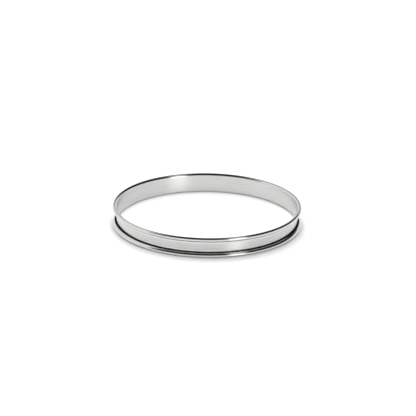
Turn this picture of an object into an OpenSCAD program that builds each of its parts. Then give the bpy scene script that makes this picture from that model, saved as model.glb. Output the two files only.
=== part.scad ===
// Tart ring with rolled edges.
// One strip of stainless steel is bent round into a hoop and butt-welded, and both of its
// edges are rolled outwards into open beads. The inside face stays smooth.
// The ring stands on its lower roll, with its centre on the Z axis.

/* [Ring] */
// Diameter across the inside face of the wall
inner_d = 180; // [60:5:340]
// Height over both rolled edges
ring_h = 20; // [16:0.5:40]
// Thickness of the steel strip
sheet_t = 0.5; // [0.4:0.05:0.8]

/* [Rolled edges] */
// Width of a roll, from the inside face of the wall to its outermost point
roll_w = 4.8; // [4.4:0.1:6]
// Width of the flat foot under a roll
foot_w = 0.5; // [0.4:0.1:0.8]
// Radius of the tight bend at the outermost point of a roll
outer_bend_r = 1.9; // [1.6:0.1:2.2]
// Radius of the gentle curve of the lip, which rises towards the wall
lip_r = 5; // [4:0.5:7]
// Open slot between the cut end of the lip and the outside face of the wall
slot_w = 2; // [1.5:0.1:2.4]

/* [Hidden] */
$fn = 180;
steel = [0.78, 0.78, 0.77];

// Every radius is measured on the outer face of the bent strip.
inner_r = inner_d / 2;
wall_bend_r = roll_w - outer_bend_r - foot_w;

// Slope at which the tight bend ends and the lip starts
lip_start_angle = atan2(3, 4);
lip_centre_x = roll_w - outer_bend_r - (lip_r - outer_bend_r) * cos(lip_start_angle);
lip_end_angle = acos((sheet_t + slot_w - lip_centre_x) / lip_r);

// The section of the strip is a chain of stretches. Each one starts at the origin and runs along +X,
// with its outer face on the X axis, and its children carry on from its end.

// A straight stretch
module straight(length) {
    square([length, sheet_t]);
    translate([length, 0])
        children();
}

// A bend to the left through less than 180 degrees
module bend(bend_r, turn) {
    reach = 2 * bend_r;
    translate([0, bend_r]) {
        intersection() {
            difference() {
                circle(bend_r);
                circle(bend_r - sheet_t);
            }
            translate([0, -reach])
                square([reach, 2 * reach]);
            rotate(turn)
                translate([-reach, -reach])
                    square([reach, 2 * reach]);
        }
        rotate(turn)
            translate([0, -bend_r])
                children();
    }
}

// One rolled edge: the wide bend at the wall, the flat foot, the tight bend at the outermost point, and
// the gently curved lip, whose cut end leaves an open slot along the wall
module roll() {
    bend(wall_bend_r, 90)
        straight(foot_w)
            bend(outer_bend_r, 90 + lip_start_angle)
                bend(lip_r, lip_end_angle - lip_start_angle);
}

// The lower part of the strip: its rolled edge, and the wall up to a little above the middle
module lower_strip() {
    translate([0, wall_bend_r])
        rotate(-90) {
            translate([-ring_h / 2, 0])
                straight(ring_h / 2);
            roll();
        }
}

// The whole strip cut through: x is the distance out from the inside face of the wall, and y the height
// above the surface that the ring stands on. Its two parts are alike and share the middle of the wall.
module strip_section() {
    lower_strip();
    translate([0, ring_h])
        mirror([0, 1])
            lower_strip();
}

module tart_ring() {
    color(steel)
        rotate_extrude()
            translate([inner_r, 0])
                strip_section();
}

tart_ring();
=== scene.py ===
"""Tart ring: one strip of stainless steel, bent into a hoop, with both edges rolled outwards.

The ring stands on a white floor under plain soft light. Lengths are in metres.
"""

import math

import bpy
import numpy as np
from bpy.props import FloatProperty, FloatVectorProperty, IntProperty, PointerProperty
from mathutils import Matrix, Vector


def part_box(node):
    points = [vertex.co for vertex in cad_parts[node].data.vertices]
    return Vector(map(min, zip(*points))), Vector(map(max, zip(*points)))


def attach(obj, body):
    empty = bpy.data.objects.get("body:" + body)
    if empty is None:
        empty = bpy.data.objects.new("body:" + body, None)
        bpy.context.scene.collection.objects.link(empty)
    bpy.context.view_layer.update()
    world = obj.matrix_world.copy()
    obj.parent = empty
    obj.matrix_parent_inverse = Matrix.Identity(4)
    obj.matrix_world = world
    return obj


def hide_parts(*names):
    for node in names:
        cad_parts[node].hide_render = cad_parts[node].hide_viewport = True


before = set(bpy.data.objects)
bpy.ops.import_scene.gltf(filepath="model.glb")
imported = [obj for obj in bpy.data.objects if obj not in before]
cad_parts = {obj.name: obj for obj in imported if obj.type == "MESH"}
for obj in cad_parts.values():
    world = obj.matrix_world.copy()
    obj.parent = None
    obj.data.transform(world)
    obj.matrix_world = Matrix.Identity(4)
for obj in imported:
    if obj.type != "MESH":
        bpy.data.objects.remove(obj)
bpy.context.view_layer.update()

bl_info = {
    "name": "Tart ring",
    "version": (1, 0, 0),
    "blender": (4, 5, 0),
    "location": "3D View > Sidebar > Tart ring",
    "description": "A steel tart ring with rolled edges, and the white floor that it stands on",
    "category": "Add Mesh",
}

NODE = "tart_ring"
RING_LOW, RING_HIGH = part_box(NODE)
MM = 0.001


class RingSizes(bpy.types.PropertyGroup):
    """Sizes of the ring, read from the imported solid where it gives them."""

    outer_r: FloatProperty(
        name="Outer radius",
        description="Radius at the outermost point of the rolled edges",
        default=RING_HIGH.x,
        unit="LENGTH",
    )
    height: FloatProperty(
        name="Height",
        description="Height over both rolled edges",
        default=RING_HIGH.z - RING_LOW.z,
        unit="LENGTH",
    )
    sheet: FloatProperty(
        name="Sheet",
        description="Thickness of the steel strip",
        default=0.5 * MM,
        unit="LENGTH",
    )
    roll_w: FloatProperty(
        name="Roll width",
        description="From the inside face of the wall to the outermost point of a roll",
        default=4.8 * MM,
        unit="LENGTH",
    )
    foot_w: FloatProperty(
        name="Foot width",
        description="Width of the flat foot under a roll",
        default=0.5 * MM,
        unit="LENGTH",
    )
    outer_bend_r: FloatProperty(
        name="Tight bend radius",
        description="Radius of the tight bend at the outermost point of a roll",
        default=1.9 * MM,
        unit="LENGTH",
    )
    lip_r: FloatProperty(
        name="Lip radius",
        description="Radius of the gentle curve of the lip",
        default=5.0 * MM,
        unit="LENGTH",
    )
    lip_start: FloatProperty(
        name="Lip start",
        description="Rise of the direction in which the tight bend ends and the lip starts",
        default=math.atan2(3, 4),
        subtype="ANGLE",
    )
    slot_w: FloatProperty(
        name="Slot width",
        description="Open slot between the cut end of the lip and the outside face of the wall",
        default=2.0 * MM,
        unit="LENGTH",
    )
    steps_round: IntProperty(
        name="Steps round",
        description="Number of faces round the hoop",
        default=560,
    )
    steps_bend: IntProperty(
        name="Steps in a bend",
        description="Number of faces along the wall bend and along the lip; the tight bend has twice as many",
        default=10,
    )


class SteelFinish(bpy.types.PropertyGroup):
    """Finish of the stainless steel."""

    colour: FloatVectorProperty(
        name="Steel colour",
        description="Colour of the bare steel",
        default=(0.65, 0.65, 0.64),
        subtype="COLOR",
    )
    wall_roughness: FloatProperty(
        name="Wall roughness",
        description="Roughness of the satin wall",
        default=0.34,
        subtype="FACTOR",
    )
    roll_roughness: FloatProperty(
        name="Roll roughness",
        description="Roughness of the drawn rolled edges",
        default=0.08,
        subtype="FACTOR",
    )
    cavity_roughness: FloatProperty(
        name="Cavity roughness",
        description="Roughness of the dull steel inside the rolls",
        default=0.3,
        subtype="FACTOR",
    )
    # Painted shade: inside the rolls the steel colour is cut to this share, standing in for the shade that
    # falls in the rolls and the slot.
    roll_painted_shade: FloatProperty(
        name="Cavity shade",
        description="Share of the steel colour that is left inside the rolls",
        default=0.3,
        subtype="FACTOR",
    )
    smooth_h: FloatProperty(
        name="Smooth height",
        description="Height of the smooth stretch outside, from each edge up to the brushed wall",
        default=6.5 * MM,
        unit="LENGTH",
    )
    brush_fade: FloatProperty(
        name="Brush fade",
        description="How far to each side of its end the brushed wall fades into the smooth steel",
        default=0.4 * MM,
        unit="LENGTH",
    )
    brush_depth: FloatProperty(
        name="Brush depth",
        description="Depth of the fine lines that run round the wall",
        default=0.004 * MM,
        unit="LENGTH",
    )
    brush_tone: FloatProperty(
        name="Brush tone",
        description="How much darker or lighter than the steel colour a line can be",
        default=0.14,
        subtype="FACTOR",
    )
    brush_roughness: FloatProperty(
        name="Brush roughness",
        description="How much smoother or rougher than the wall a line can be",
        default=0.04,
        subtype="FACTOR",
    )


class StageSetup(bpy.types.PropertyGroup):
    """Floor, light and camera."""

    floor_size: FloatProperty(
        name="Floor size",
        description="Length of a side of the floor",
        default=12.0,
        unit="LENGTH",
    )
    floor_colour: FloatVectorProperty(
        name="Floor colour",
        description="Colour of the floor",
        default=(0.85, 0.85, 0.85),
        subtype="COLOR",
    )
    overhead_power: FloatProperty(
        name="Overhead power",
        description="Power of the large lamp above the ring",
        default=103.0,
        unit="POWER",
    )
    fill_power: FloatProperty(
        name="Fill power",
        description="Power of the small lamp that lights the floor inside the ring",
        default=0.06,
        unit="POWER",
    )
    camera_elevation: FloatProperty(
        name="Camera elevation",
        description="Angle from which the camera looks down at the ring",
        default=math.radians(20.727),
        subtype="ANGLE",
    )
    camera_distance: FloatProperty(
        name="Camera distance",
        description="Distance from the middle of the ring",
        default=2.1164,
        unit="LENGTH",
    )
    camera_roll: FloatProperty(
        name="Camera roll",
        description="Angle by which the picture is turned clockwise",
        default=math.radians(0.831),
        subtype="ANGLE",
    )


def arc_points(centre, radius, start, end, steps):
    """Points of an arc: centre + radius * (cos a, sin a), for angles a from start to end in degrees."""
    angle = np.radians(np.linspace(start, end, steps + 1))
    return np.column_stack([centre[0] + radius * np.cos(angle), centre[1] + radius * np.sin(angle)])


# The wall behind the slot is rougher and darkened with painted shade up to this share of the lip's height,
# and bare level with the lip.
DULL_AND_SHADE_SHARE = 0.8


def roll_paths(sizes):
    """The two faces of the lower rolled edge, from the wall round the roll to its cut lip.

    x is the distance out from the inside face of the wall, and y the height above the floor. Each face
    is a wide quarter bend at the wall, a straight foot, a tight bend at the outermost point and the lip's
    gentle curve. The inner face then goes up the wall to the height of the lip. Every arc is
    centre + radius * (cos a, sin a), and the inner face has the same centres, with each radius less by
    the sheet. The lip ends at the angle where its outer face reaches the slot: the arc cosine of
    (slot's far side - centre) / radius.
    """
    tight_r = sizes.outer_bend_r
    wall_r = sizes.roll_w - tight_r - sizes.foot_w
    wall_centre = (wall_r, wall_r)
    tight_centre = (sizes.roll_w - tight_r, tight_r)
    back = tight_r - sizes.lip_r
    lip_centre = (
        tight_centre[0] + back * math.cos(sizes.lip_start),
        tight_centre[1] + back * math.sin(sizes.lip_start),
    )
    start = math.degrees(sizes.lip_start)
    end = math.degrees(math.acos((sizes.sheet + sizes.slot_w - lip_centre[0]) / sizes.lip_r))
    steps = sizes.steps_bend

    def face(inset):
        return np.vstack([
            arc_points(wall_centre, wall_r - inset, 180, 270, steps),
            arc_points(tight_centre, tight_r - inset, -90, start, 2 * steps),
            arc_points(lip_centre, sizes.lip_r - inset, start, end, steps)[1:],
        ])

    outer_face = face(0.0)
    lip_top = outer_face[-1, 1]
    slot_wall = [(sizes.sheet, DULL_AND_SHADE_SHARE * lip_top), (sizes.sheet, lip_top)]
    inner_face = np.vstack([face(sizes.sheet)[::-1], slot_wall])
    return outer_face, inner_face


def strip_section(sizes):
    """Closed outline of the strip cut through: the lower roll and its mirror image at the top.

    Columns are radius and height. The order is the outer face from the top lip down the inside wall to
    the lower lip, then the inner face back up. The second array is 1 inside the rolls and 0 elsewhere; it
    marks where the steel is made rougher and darkened with painted shade.
    """
    outer_face, inner_face = roll_paths(sizes)
    flip = np.array([1.0, -1.0])
    lift = np.array([0.0, sizes.height])
    top_outer = (outer_face * flip + lift)[::-1]
    top_inner = (inner_face * flip + lift)[::-1]
    section = np.vstack([top_outer, outer_face, inner_face, top_inner])
    section[:, 0] += sizes.outer_r - sizes.roll_w
    outside = np.zeros(len(outer_face))
    in_roll = np.ones(len(inner_face))
    in_roll[-1] = 0.0
    roll_dull_and_shade = np.concatenate([outside, outside, in_roll, in_roll[::-1]])
    return section, roll_dull_and_shade


def revolved_mesh(name, section, roll_dull_and_shade, steps_round):
    """A closed section carried once round Z: point (r, z) goes to (r cos t, r sin t, z) for each angle t.

    The roll mask value of each point of the section goes with it as a mesh attribute of the same name; the
    material uses it to make the insides of the rolls rougher and darker with painted shade.
    """
    turn = np.linspace(0.0, 2 * math.pi, steps_round, endpoint=False)
    radius = section[:, 0]
    height = section[:, 1]
    across = len(section)
    points = np.stack(
        [
            np.outer(np.cos(turn), radius),
            np.outer(np.sin(turn), radius),
            np.outer(np.ones(steps_round), height),
        ],
        axis=-1,
    ).reshape(-1, 3)
    column, row = np.meshgrid(np.arange(steps_round), np.arange(across), indexing="ij")
    next_column = (column + 1) % steps_round
    next_row = (row + 1) % across
    faces = np.stack(
        [
            column * across + row,
            column * across + next_row,
            next_column * across + next_row,
            next_column * across + row,
        ],
        axis=-1,
    ).reshape(-1, 4)
    mesh = bpy.data.meshes.new(name)
    mesh.from_pydata(points.tolist(), [], faces.tolist())
    mesh.polygons.foreach_set("use_smooth", np.ones(len(faces), dtype=bool))
    attribute = mesh.attributes.new("roll_dull_and_shade", "FLOAT", "POINT")
    attribute.data.foreach_set("value", np.tile(roll_dull_and_shade, steps_round))
    mesh.update()
    return mesh


class NodeBench:
    """Adds nodes to one tree, each with its inputs linked or set."""

    def __init__(self, tree):
        self.tree = tree

    def add(self, kind, **settings):
        node = self.tree.nodes.new(kind)
        for key, value in settings.items():
            setattr(node, key, value)
        return node

    def feed(self, socket, value):
        """Links an output to a socket, or sets the socket to a plain value."""
        if isinstance(value, bpy.types.NodeSocket):
            self.tree.links.new(value, socket)
        else:
            socket.default_value = value

    def split(self, vector):
        """The X, Y and Z of a vector."""
        node = self.add("ShaderNodeSeparateXYZ")
        self.feed(node.inputs[0], vector)
        return node.outputs["X"], node.outputs["Y"], node.outputs["Z"]

    def math(self, operation, *values):
        node = self.add("ShaderNodeMath", operation=operation)
        for socket, value in zip(node.inputs, values):
            self.feed(socket, value)
        return node.outputs[0]

    def blend(self, factor, first, second):
        """The first number where the factor is 0, the second where it is 1."""
        node = self.add("ShaderNodeMix", data_type="FLOAT")
        for key, value in (("Factor", factor), ("A", first), ("B", second)):
            self.feed(node.inputs[key], value)
        return node.outputs["Result"]

    def blend_colour(self, factor, first, second):
        """The first colour where the factor is 0, the second where it is 1."""
        node = self.add("ShaderNodeMix", data_type="RGBA")
        for key, value in (("Factor", factor), ("A", first), ("B", second)):
            self.feed(node.inputs[key], value)
        return node.outputs["Result"]

    def ramp(self, value, low, high, out_low=0.0, out_high=1.0, smooth=True):
        """Goes from out_low at low to out_high at high, and stays at each beyond them."""
        node = self.add("ShaderNodeMapRange", interpolation_type="SMOOTHSTEP" if smooth else "LINEAR")
        self.feed(node.inputs["Value"], value)
        self.feed(node.inputs["From Min"], low)
        self.feed(node.inputs["From Max"], high)
        self.feed(node.inputs["To Min"], out_low)
        self.feed(node.inputs["To Max"], out_high)
        return node.outputs[0]


# Noise features per metre round the hoop and across the strip, and how many finer layers are added.
ROUND_SCALE = 40.0
ACROSS_SCALE = 1800.0
LINE_DETAIL = 3.0


def brush_lines_group():
    """Fine lines that run round the ring: noise that is slow round the hoop and quick across the strip."""
    group = bpy.data.node_groups.new("BrushLines", "ShaderNodeTree")
    face = group.interface
    face.new_socket("Round Scale", in_out="INPUT", socket_type="NodeSocketFloat")
    face.new_socket("Across Scale", in_out="INPUT", socket_type="NodeSocketFloat")
    face.new_socket("Lines", in_out="OUTPUT", socket_type="NodeSocketFloat")
    bench = NodeBench(group)
    given = bench.add("NodeGroupInput")
    result = bench.add("NodeGroupOutput")
    place = bench.add("ShaderNodeTexCoord")
    x, y, z = bench.split(place.outputs["Object"])
    stretched = bench.add("ShaderNodeCombineXYZ")
    bench.feed(stretched.inputs["X"], bench.math("MULTIPLY", x, given.outputs["Round Scale"]))
    bench.feed(stretched.inputs["Y"], bench.math("MULTIPLY", y, given.outputs["Round Scale"]))
    bench.feed(stretched.inputs["Z"], bench.math("MULTIPLY", z, given.outputs["Across Scale"]))
    noise = bench.add("ShaderNodeTexNoise", noise_dimensions="3D")
    bench.feed(noise.inputs["Vector"], stretched.outputs[0])
    bench.feed(noise.inputs["Scale"], 1.0)
    bench.feed(noise.inputs["Detail"], LINE_DETAIL)
    bench.feed(result.inputs["Lines"], noise.outputs["Fac"])
    return group


def roll_mask(bench, sizes, finish):
    """0 on the brushed wall and 1 on the smooth rolls.

    Inside the ring the brushed wall goes up and down to the wall bends. Outside it ends at the smooth
    height from each edge. The side is told by the distance from the axis, sqrt(x squared + y squared).
    """
    place = bench.add("ShaderNodeTexCoord")
    x, y, z = bench.split(place.outputs["Object"])
    middle = sizes.height / 2
    from_middle = bench.math("ABSOLUTE", bench.math("SUBTRACT", z, middle))
    squares = bench.math("ADD", bench.math("POWER", x, 2.0), bench.math("POWER", y, 2.0))
    wall_middle = sizes.outer_r - sizes.roll_w + sizes.sheet / 2
    outside = bench.math("GREATER_THAN", bench.math("POWER", squares, 0.5), wall_middle)
    inside_end = middle - (sizes.roll_w - sizes.outer_bend_r - sizes.foot_w)
    outside_end = middle - finish.smooth_h
    past_end = bench.math("SUBTRACT", from_middle, bench.blend(outside, inside_end, outside_end))
    return bench.ramp(past_end, -finish.brush_fade, finish.brush_fade)


def shade_of(colour, share):
    """A colour times a share, with full alpha."""
    return tuple(share * channel for channel in colour) + (1.0,)


ANISOTROPY = 0.9
QUARTER_TURN = 0.25
LINES_MEAN = 0.5
LINES_REACH = (0.3, 0.7)
BUMP_STRENGTH = 0.15


def steel_material(sizes, finish):
    """Stainless steel: a satin wall with lines brushed round it, and rolls that are drawn nearly bright.

    The tangent runs round the ring, and a quarter turn of it spreads reflections up and down the wall and
    keeps them sharp round the hoop. Inside the rolls the steel is rougher, and its colour is darkened as
    painted shade.
    """
    material = bpy.data.materials.new("stainless_steel")
    material.use_nodes = True
    bench = NodeBench(material.node_tree)
    shader = material.node_tree.nodes["Principled BSDF"]
    shader.inputs["Metallic"].default_value = 1.0
    shader.inputs["Anisotropic"].default_value = ANISOTROPY
    shader.inputs["Anisotropic Rotation"].default_value = QUARTER_TURN
    around = bench.add("ShaderNodeTangent", direction_type="RADIAL", axis="Z")
    bench.feed(shader.inputs["Tangent"], around.outputs[0])
    on_roll = roll_mask(bench, sizes, finish)
    # Mask of the rolls' insides: there the steel is rougher and its colour is darkened as painted shade.
    stored = bench.add("ShaderNodeAttribute", attribute_type="GEOMETRY", attribute_name="roll_dull_and_shade")
    roll_dull_and_shade = stored.outputs["Fac"]
    brush = bench.add("ShaderNodeGroup", node_tree=brush_lines_group())
    brush.inputs["Round Scale"].default_value = ROUND_SCALE
    brush.inputs["Across Scale"].default_value = ACROSS_SCALE
    lines = bench.blend(on_roll, brush.outputs["Lines"], LINES_MEAN)
    roughness = bench.blend(on_roll, finish.wall_roughness, finish.roll_roughness)
    rough_line = finish.brush_roughness
    shift = bench.ramp(lines, *LINES_REACH, -rough_line, rough_line, smooth=False)
    roughness = bench.blend(roll_dull_and_shade, bench.math("ADD", roughness, shift), finish.cavity_roughness)
    bench.feed(shader.inputs["Roughness"], roughness)
    dark_line = shade_of(finish.colour, 1 - finish.brush_tone)
    light_line = shade_of(finish.colour, 1 + finish.brush_tone)
    bare = bench.blend_colour(lines, dark_line, light_line)
    # Painted shade: inside the rolls the colour is cut to a share of the steel colour, standing in for the
    # shade in the rolls.
    colour = bench.blend_colour(roll_dull_and_shade, bare, shade_of(finish.colour, finish.roll_painted_shade))
    bench.feed(shader.inputs["Base Color"], colour)
    bump = bench.add("ShaderNodeBump")
    bench.feed(bump.inputs["Strength"], BUMP_STRENGTH)
    bench.feed(bump.inputs["Distance"], finish.brush_depth)
    bench.feed(bump.inputs["Height"], lines)
    bench.feed(shader.inputs["Normal"], bump.outputs[0])
    return material


# Faces that meet at more than this angle have a sharp edge between them, such as the cut ends of the lips.
SHARP_ANGLE = math.radians(50)


class TARTRING_OT_ring(bpy.types.Operator):
    """Build the ring as one closed surface: the strip's section carried round the Z axis"""

    bl_idname = "tart_ring.build_ring"
    bl_label = "Build the ring"

    def execute(self, context):
        sizes = context.scene.ring_sizes
        mesh = revolved_mesh("ring", *strip_section(sizes), sizes.steps_round)
        mesh.set_sharp_from_angle(angle=SHARP_ANGLE)
        mesh.materials.append(steel_material(sizes, context.scene.steel_finish))
        ring = bpy.data.objects.new("ring", mesh)
        context.scene.collection.objects.link(ring)
        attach(ring, "root")
        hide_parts(NODE)
        return {"FINISHED"}


def floor_material(colour):
    """A plain pale floor that shows the ring's soft shadow."""
    material = bpy.data.materials.new("white_floor")
    material.use_nodes = True
    shader = material.node_tree.nodes["Principled BSDF"]
    shader.inputs["Base Color"].default_value = shade_of(colour, 1.0)
    shader.inputs["Roughness"].default_value = 1.0
    shader.inputs["Specular IOR Level"].default_value = 0.0
    return material


# Elevations in degrees at which the white begins to darken and is fully dark, on each side of the ring.
FRONT_EDGE = (22.0, 34.0)
BACK_EDGE = (14.0, 26.0)
RIGHT_EDGE = (15.0, 27.0)
LEFT_EDGE = (50.0, 70.0)
DARK_LEVEL = 0.03

# Where each side begins and ends: a direction's Y for the back, and turns in degrees for the others.
BACK_START = (-0.15, 0.15)
RIGHT_START = (40.0, 70.0)
RIGHT_END = (130.0, 150.0)
LEFT_START = (-95.0, -75.0)
LEFT_END = (-175.0, -160.0)

# The lit panel: the turns of the steel faces that show its long edges, how soft these edges are, the Y
# of the directions in which it fades out at the back, the elevations between which its light goes from
# the low level to the high one, and both levels.
PANEL_TURN = (14.0, 24.0)
PANEL_SOFTNESS = 0.08
PANEL_BACK = (0.6, 0.8)
PANEL_FADE = (8.0, 28.0)
PANEL_LOW_LEVEL = 4.4
PANEL_HIGH_LEVEL = 0.75


def panel_side(bench, x, y, turn, view_slope):
    """How far a direction lies beyond one long edge of the lit panel.

    The panel leans over the ring, so that a steel face turned by this many degrees shows its edge,
    whatever the face's own slope: x cos t + y sin t - view_slope sin t.
    """
    angle = math.radians(turn)
    across = bench.math("MULTIPLY", x, math.cos(angle))
    along = bench.math("MULTIPLY", y, math.sin(angle))
    return bench.math("SUBTRACT", bench.math("ADD", across, along), view_slope * math.sin(angle))


def panel_mask(bench, x, y, view_slope):
    """1 in the directions of the lit panel and 0 elsewhere, with soft edges."""
    past_left = panel_side(bench, x, y, PANEL_TURN[0], view_slope)
    past_right = panel_side(bench, x, y, PANEL_TURN[1], view_slope)
    mask = bench.math(
        "MULTIPLY",
        bench.ramp(past_left, -PANEL_SOFTNESS, PANEL_SOFTNESS),
        bench.ramp(past_right, -PANEL_SOFTNESS, PANEL_SOFTNESS, 1.0, 0.0),
    )
    return bench.math("MULTIPLY", mask, bench.ramp(y, *PANEL_BACK, 1.0, 0.0))


def studio_world(view_slope):
    """White low round the ring and dark overhead, as in a room where only the walls are lit.

    The dark starts at a lower elevation on the right than on the left. A tall lit panel stands to the
    right of the camera. Angles are in degrees, and turns are measured from the camera's side, to the
    right.
    """
    world = bpy.data.worlds.new("studio")
    world.use_nodes = True
    bench = NodeBench(world.node_tree)
    place = bench.add("ShaderNodeTexCoord")
    x, y, z = bench.split(place.outputs["Generated"])
    elevation = bench.math("MULTIPLY", bench.math("ARCSINE", z), 180 / math.pi)
    towards = bench.math("MULTIPLY", y, -1.0)
    turn = bench.math("MULTIPLY", bench.math("ARCTAN2", x, towards), 180 / math.pi)
    back = bench.ramp(y, *BACK_START)
    right = bench.math(
        "MULTIPLY", bench.ramp(turn, *RIGHT_START), bench.ramp(turn, *RIGHT_END, 1.0, 0.0)
    )
    left = bench.math(
        "MULTIPLY", bench.ramp(turn, *LEFT_START, 1.0, 0.0), bench.ramp(turn, *LEFT_END)
    )

    def edge(which):
        value = bench.blend(back, FRONT_EDGE[which], BACK_EDGE[which])
        value = bench.blend(right, value, RIGHT_EDGE[which])
        return bench.blend(left, value, LEFT_EDGE[which])

    room_level = bench.blend(bench.ramp(elevation, edge(0), edge(1)), 1.0, DARK_LEVEL)
    panel_level = bench.ramp(elevation, *PANEL_FADE, PANEL_LOW_LEVEL, PANEL_HIGH_LEVEL)
    level = bench.blend(panel_mask(bench, x, y, view_slope), room_level, panel_level)
    grey = bench.add("ShaderNodeCombineColor")
    for channel in ("Red", "Green", "Blue"):
        bench.feed(grey.inputs[channel], level)
    bench.feed(world.node_tree.nodes["Background"].inputs["Color"], grey.outputs[0])
    return world


OVERHEAD_PLACE = (0.0, 0.6, 2.5)
OVERHEAD_SIZE = (1.4, 5.0)
FILL_PLACE = (0.0, 0.0, 0.15)
FILL_SIZE = (0.1, 0.1)


def soft_lamp(name, place, size, power):
    """A soft lamp that points at the origin, lights the floor and isn't seen in the steel.

    The first size is its width, and the second is its length along the view.
    """
    lamp = bpy.data.lights.new(name, "AREA")
    lamp.shape = "RECTANGLE"
    lamp.size, lamp.size_y = size
    lamp.energy = power
    thing = bpy.data.objects.new(name, lamp)
    thing.location = place
    thing.rotation_euler = (-Vector(place)).to_track_quat("-Z", "Y").to_euler()
    thing.visible_glossy = False
    thing.visible_camera = False
    return thing


PHOTO_SIDE = 416
FOCAL_PIXELS = 2113.3
OPTICAL_CENTRE = (207.0, 213.77)
SENSOR_WIDTH = 36.0
CLIP_END = 100.0


def photo_camera(setup, target):
    """The camera: it looks at the target from the front and above, turned a little on its own axis.

    The lens and its shifts come from the focal length and the optical centre, both in pixels.
    """
    data = bpy.data.cameras.new("camera")
    data.sensor_fit = "HORIZONTAL"
    data.sensor_width = SENSOR_WIDTH
    data.lens = FOCAL_PIXELS * SENSOR_WIDTH / PHOTO_SIDE
    data.shift_x = (PHOTO_SIDE / 2 - OPTICAL_CENTRE[0]) / PHOTO_SIDE
    data.shift_y = (OPTICAL_CENTRE[1] - PHOTO_SIDE / 2) / PHOTO_SIDE
    data.clip_end = CLIP_END
    tilt = setup.camera_elevation
    forward = Vector((0.0, math.cos(tilt), -math.sin(tilt)))
    right = Vector((1.0, 0.0, 0.0))
    up = Vector((0.0, math.sin(tilt), math.cos(tilt)))
    turn = setup.camera_roll
    turned_right = math.cos(turn) * right + math.sin(turn) * up
    turned_up = -math.sin(turn) * right + math.cos(turn) * up
    camera = bpy.data.objects.new("camera", data)
    axes = Matrix((turned_right, turned_up, -forward)).transposed()
    camera.matrix_world = Matrix.Translation(target - forward * setup.camera_distance) @ axes.to_4x4()
    return camera


def square_floor(setup):
    """The floor: one square at height 0, with its middle at the origin."""
    half = setup.floor_size / 2
    corners = [(-half, -half, 0.0), (half, -half, 0.0), (half, half, 0.0), (-half, half, 0.0)]
    mesh = bpy.data.meshes.new("floor")
    mesh.from_pydata(corners, [], [(0, 1, 2, 3)])
    mesh.materials.append(floor_material(setup.floor_colour))
    return bpy.data.objects.new("floor", mesh)


class TARTRING_OT_stage(bpy.types.Operator):
    """Lay the white floor, light it and set up the camera"""

    bl_idname = "tart_ring.build_stage"
    bl_label = "Build the stage"

    def execute(self, context):
        scene = context.scene
        setup = scene.stage_setup
        floor = square_floor(setup)
        overhead = soft_lamp("overhead", OVERHEAD_PLACE, OVERHEAD_SIZE, setup.overhead_power)
        fill = soft_lamp("fill", FILL_PLACE, FILL_SIZE, setup.fill_power)
        camera = photo_camera(setup, Vector((0.0, 0.0, scene.ring_sizes.height / 2)))
        for thing in (floor, overhead, fill, camera):
            scene.collection.objects.link(thing)
        scene.camera = camera
        scene.world = studio_world(math.cos(setup.camera_elevation))
        scene.view_settings.view_transform = "Standard"
        return {"FINISHED"}


class TARTRING_PT_panel(bpy.types.Panel):
    """Sizes, finish and stage of the tart ring"""

    bl_label = "Tart ring"
    bl_idname = "TARTRING_PT_panel"
    bl_space_type = "VIEW_3D"
    bl_region_type = "UI"
    bl_category = "Tart ring"

    def draw(self, context):
        layout = self.layout
        scene = context.scene
        for group in (scene.ring_sizes, scene.steel_finish, scene.stage_setup):
            column = layout.column()
            for key in group.bl_rna.properties.keys():
                if key not in ("rna_type", "name"):
                    column.prop(group, key)
        layout.operator(TARTRING_OT_ring.bl_idname)
        layout.operator(TARTRING_OT_stage.bl_idname)


CLASSES = (
    RingSizes,
    SteelFinish,
    StageSetup,
    TARTRING_OT_ring,
    TARTRING_OT_stage,
    TARTRING_PT_panel,
)


def register():
    for cls in CLASSES:
        bpy.utils.register_class(cls)
    bpy.types.Scene.ring_sizes = PointerProperty(type=RingSizes)
    bpy.types.Scene.steel_finish = PointerProperty(type=SteelFinish)
    bpy.types.Scene.stage_setup = PointerProperty(type=StageSetup)


def unregister():
    del bpy.types.Scene.stage_setup
    del bpy.types.Scene.steel_finish
    del bpy.types.Scene.ring_sizes
    for cls in reversed(CLASSES):
        bpy.utils.unregister_class(cls)


def main():
    register()
    bpy.ops.tart_ring.build_ring()
    bpy.ops.tart_ring.build_stage()


if __name__ == "__main__":
    main()
